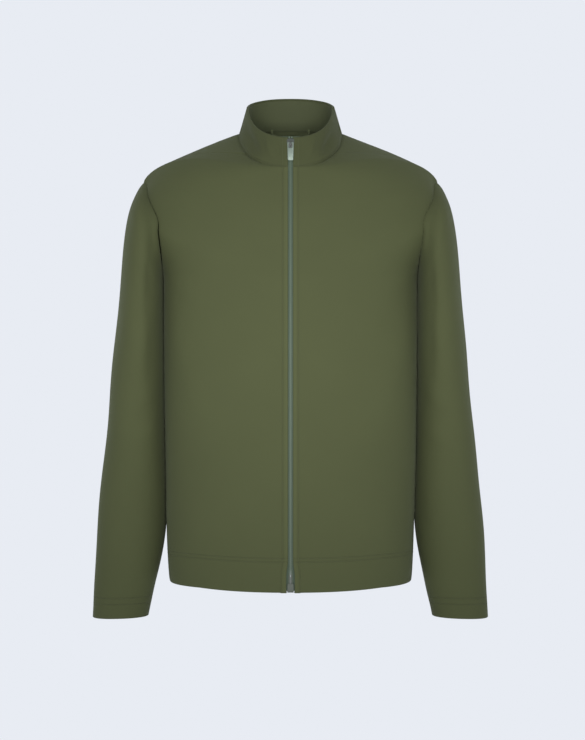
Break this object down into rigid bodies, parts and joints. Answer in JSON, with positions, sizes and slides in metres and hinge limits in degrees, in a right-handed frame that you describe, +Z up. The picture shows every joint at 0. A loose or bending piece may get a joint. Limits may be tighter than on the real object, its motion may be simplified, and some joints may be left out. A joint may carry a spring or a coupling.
{
  "type": "zip jacket",
  "caption": "Long-sleeved full-zip jacket with a stand collar and plain turned hems; its zip runs, its fronts fold open and its sleeves lift.",
  "frame": {"origin": "middle of the neck opening, level with the points where the shoulder lines meet the collar, which is where the wearer's neck and shoulders hold the jacket", "axes": "+Z up as worn, -Y the front with the zip, +X the wearer's left"},
  "size_m": [0.582, 0.2729, 0.7722],
  "materials": {
    "shell_cloth": "matte fine twill, olive green",
    "lining_cloth": "matte, olive green",
    "zip_tape": "woven tape, grey green",
    "zip_teeth": "satin moulded coil, grey green",
    "zip_metal": "satin grey green enamel"
  },
  "bodies": {
    "torso": {"back_panel": "shell_cloth", "back_yoke": "shell_cloth", "collar_back": "shell_cloth", "left_front_side": "shell_cloth", "right_front_side": "shell_cloth", "left_sleeve_cap": "shell_cloth", "right_sleeve_cap": "shell_cloth", "collar_back_lining": "lining_cloth", "neck_facing": "lining_cloth", "hanger_loop": "lining_cloth", "back_hem_turn": "lining_cloth", "left_hem_turn": "lining_cloth", "right_hem_turn": "lining_cloth", "left_zip_pin": "zip_teeth", "right_zip_pin": "zip_teeth", "retainer_box": "zip_teeth"},
    "left_front": {"left_front_flap": "shell_cloth", "left_front_facing": "lining_cloth", "left_collar_front": "shell_cloth", "left_collar_front_lining": "lining_cloth", "left_zip_tape": "zip_tape", "left_zip_teeth": "zip_teeth", "left_top_stop": "zip_teeth"},
    "right_front": {"right_front_flap": "shell_cloth", "right_front_facing": "lining_cloth", "right_collar_front": "shell_cloth", "right_collar_front_lining": "lining_cloth", "right_zip_tape": "zip_tape", "right_zip_teeth": "zip_teeth", "right_top_stop": "zip_teeth"},
    "zip_slider": {"slider_body": "zip_metal", "slider_bridge": "zip_metal"},
    "zip_puller": {"zip_puller": "zip_metal"},
    "left_sleeve": {"left_sleeve": "shell_cloth", "left_cuff_turn": "lining_cloth"},
    "right_sleeve": {"right_sleeve": "shell_cloth", "right_cuff_turn": "lining_cloth"}
  },
  "joints": [
    {"name": "slider_travel", "type": "slide", "parent": "torso", "child": "zip_slider", "axis": [0, -0.07, -0.9975], "range_m": [0, 0.621]},
    {"name": "puller_flip", "type": "hinge", "parent": "zip_slider", "child": "zip_puller", "pos_m": [0, -0.09204, -0.02592], "axis": [-1, 0, 0], "range_deg": [0, 150]},
    {"name": "left_front_fold", "type": "hinge", "parent": "torso", "child": "left_front", "pos_m": [0, -0.135, -0.655], "axis": [0.0938, 0.0983, 0.9907], "range_deg": [0, 65], "deforming": ["left_zip_tape", "left_zip_teeth"]},
    {"name": "right_front_fold", "type": "hinge", "parent": "torso", "child": "right_front", "pos_m": [0, -0.135, -0.655], "axis": [0.0938, -0.0983, -0.9907], "range_deg": [0, 65], "deforming": ["right_zip_tape", "right_zip_teeth"]},
    {"name": "left_sleeve_lift", "type": "hinge", "parent": "torso", "child": "left_sleeve", "pos_m": [0.2406, 0.007, -0.1226], "axis": [0, -1, 0], "range_deg": [0, 40]},
    {"name": "right_sleeve_lift", "type": "hinge", "parent": "torso", "child": "right_sleeve", "pos_m": [-0.2406, 0.007, -0.1226], "axis": [0, 1, 0], "range_deg": [0, 40]}
  ],
  "couplings": [
    {"joint": "left_front_fold", "follows": "slider_travel", "rad_per_m": 1.8268},
    {"joint": "right_front_fold", "follows": "slider_travel", "rad_per_m": 1.8268}
  ]
}
